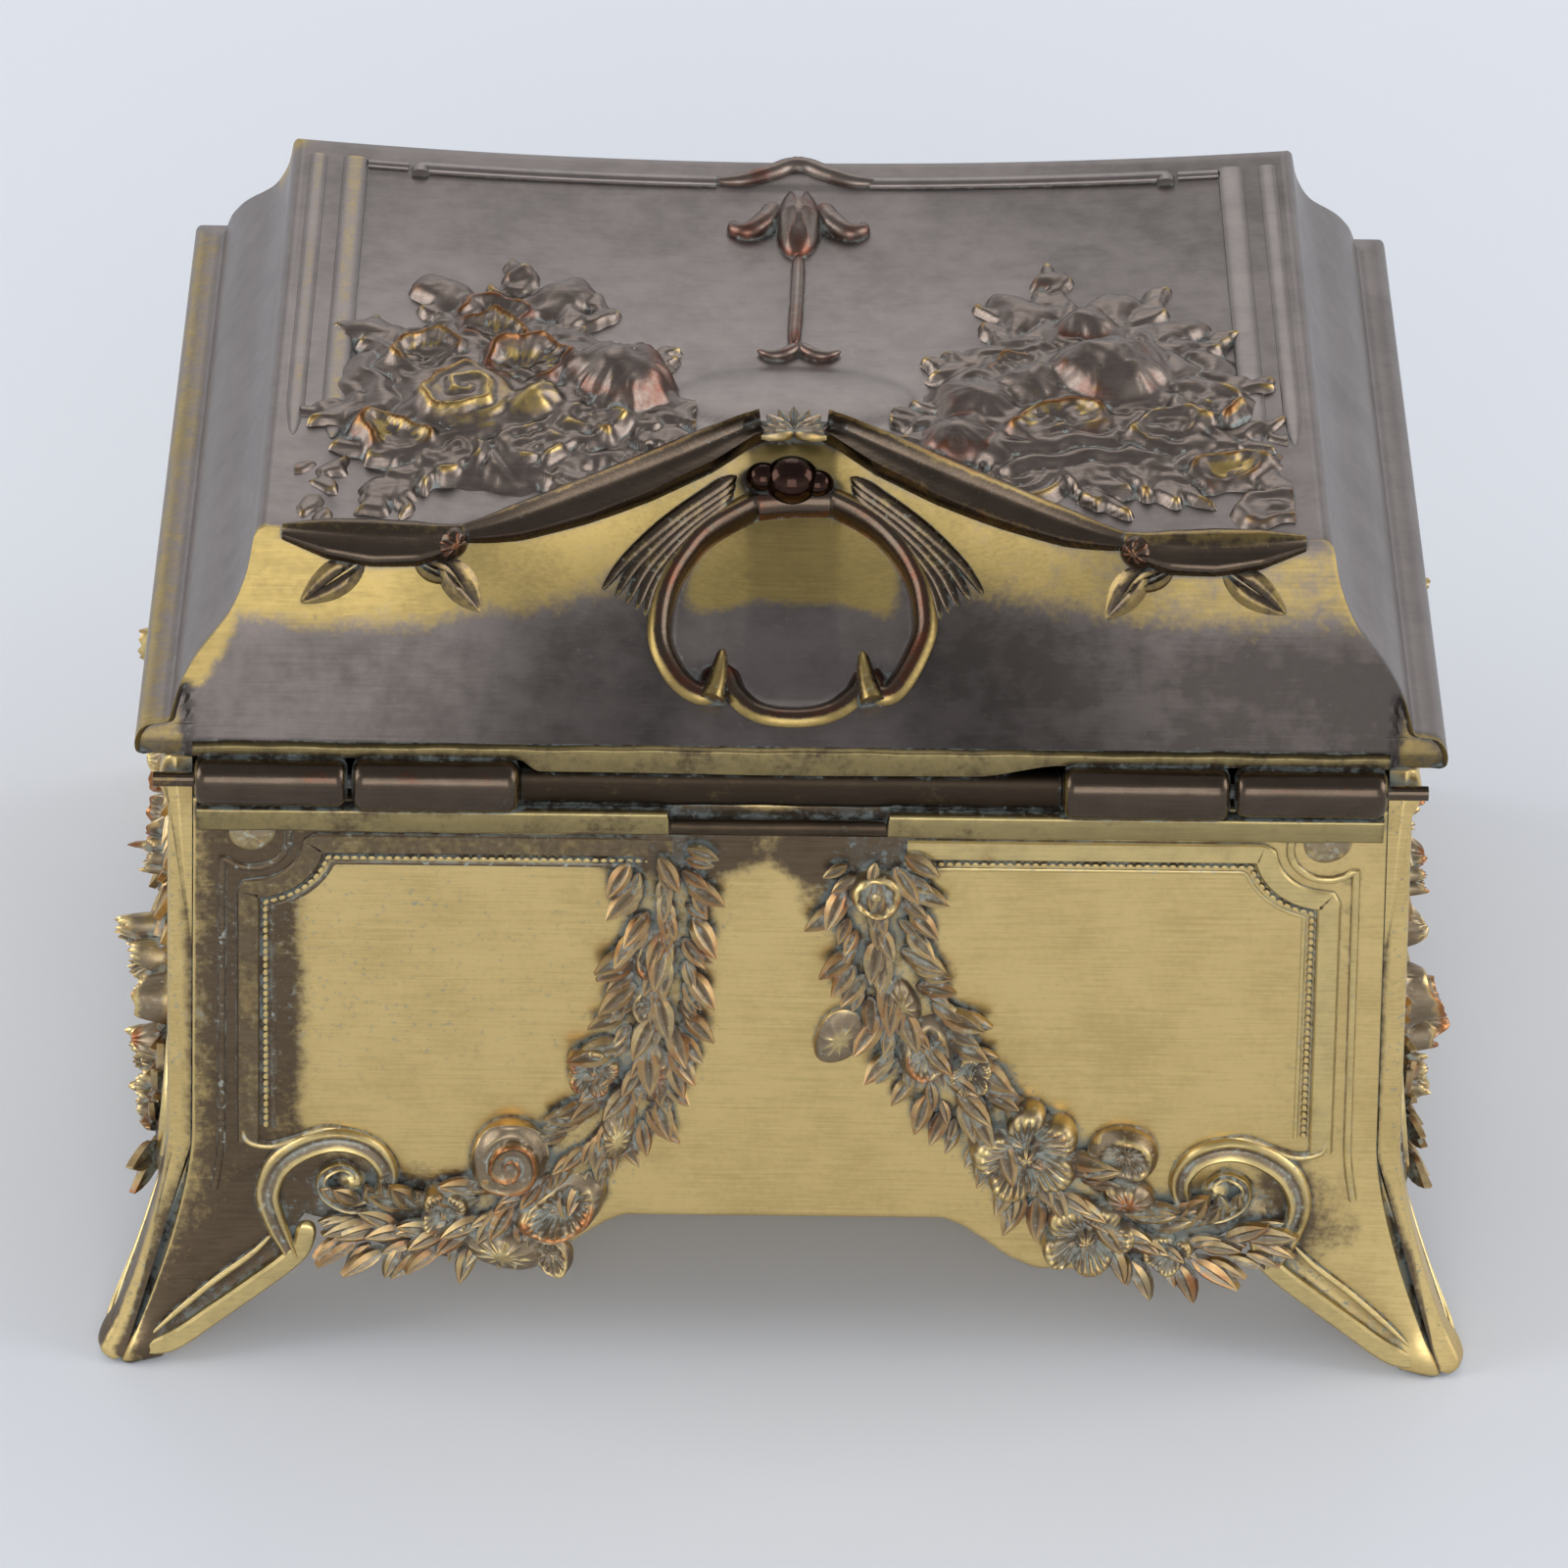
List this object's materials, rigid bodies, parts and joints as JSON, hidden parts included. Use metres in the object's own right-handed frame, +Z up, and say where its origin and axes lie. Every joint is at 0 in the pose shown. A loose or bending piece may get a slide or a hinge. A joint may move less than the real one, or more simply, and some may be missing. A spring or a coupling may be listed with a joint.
{
  "type": "jewellery box",
  "caption": "Cast brass jewellery casket on splayed feet, with flower swags, a waisted hinged lid and a padded fabric lining.",
  "frame": {"origin": "middle of the footprint, on the surface that the four feet stand on", "axes": "+Z up, -Y out of the front that opens, +Y out of the hinge side, +X along the long side"},
  "size_m": [0.1526, 0.117, 0.1021],
  "materials": {
    "cast_brass": "cast brass, worn gilt with brown patina and dust in the hollows",
    "lid_bronze": "cast brass with a satin brown bronze patina, coppery on the high points",
    "sheet_brass": "rolled brass sheet, dull",
    "hinge_steel": "drawn steel wire, dull grey",
    "silk_lining": "quilted silk satin over card",
    "velvet_lining": "cotton velvet pad"
  },
  "bodies": {
    "casket": {"back_wall": "cast_brass", "front_wall": "cast_brass", "left_side_wall": "cast_brass", "right_side_wall": "cast_brass", "floor_plate": "sheet_brass", "base_hinge_rail": "cast_brass", "base_knuckle_left": "lid_bronze", "base_knuckle_right": "lid_bronze", "hinge_pin_left": "hinge_steel", "hinge_pin_right": "hinge_steel", "lining_back": "silk_lining", "lining_front": "silk_lining", "lining_left": "silk_lining", "lining_right": "silk_lining", "floor_pad": "velvet_lining"},
    "lid": {"lid_shell": "lid_bronze", "lid_hinge_rail": "cast_brass", "lid_knuckle_left": "lid_bronze", "lid_knuckle_right": "lid_bronze", "lid_pad": "silk_lining"}
  },
  "joints": [
    {"name": "lid_hinge", "type": "hinge", "parent": "casket", "child": "lid", "pos_m": [0, 0.0525, 0.0756], "axis": [-1, 0, 0], "range_deg": [0, 100]}
  ]
}
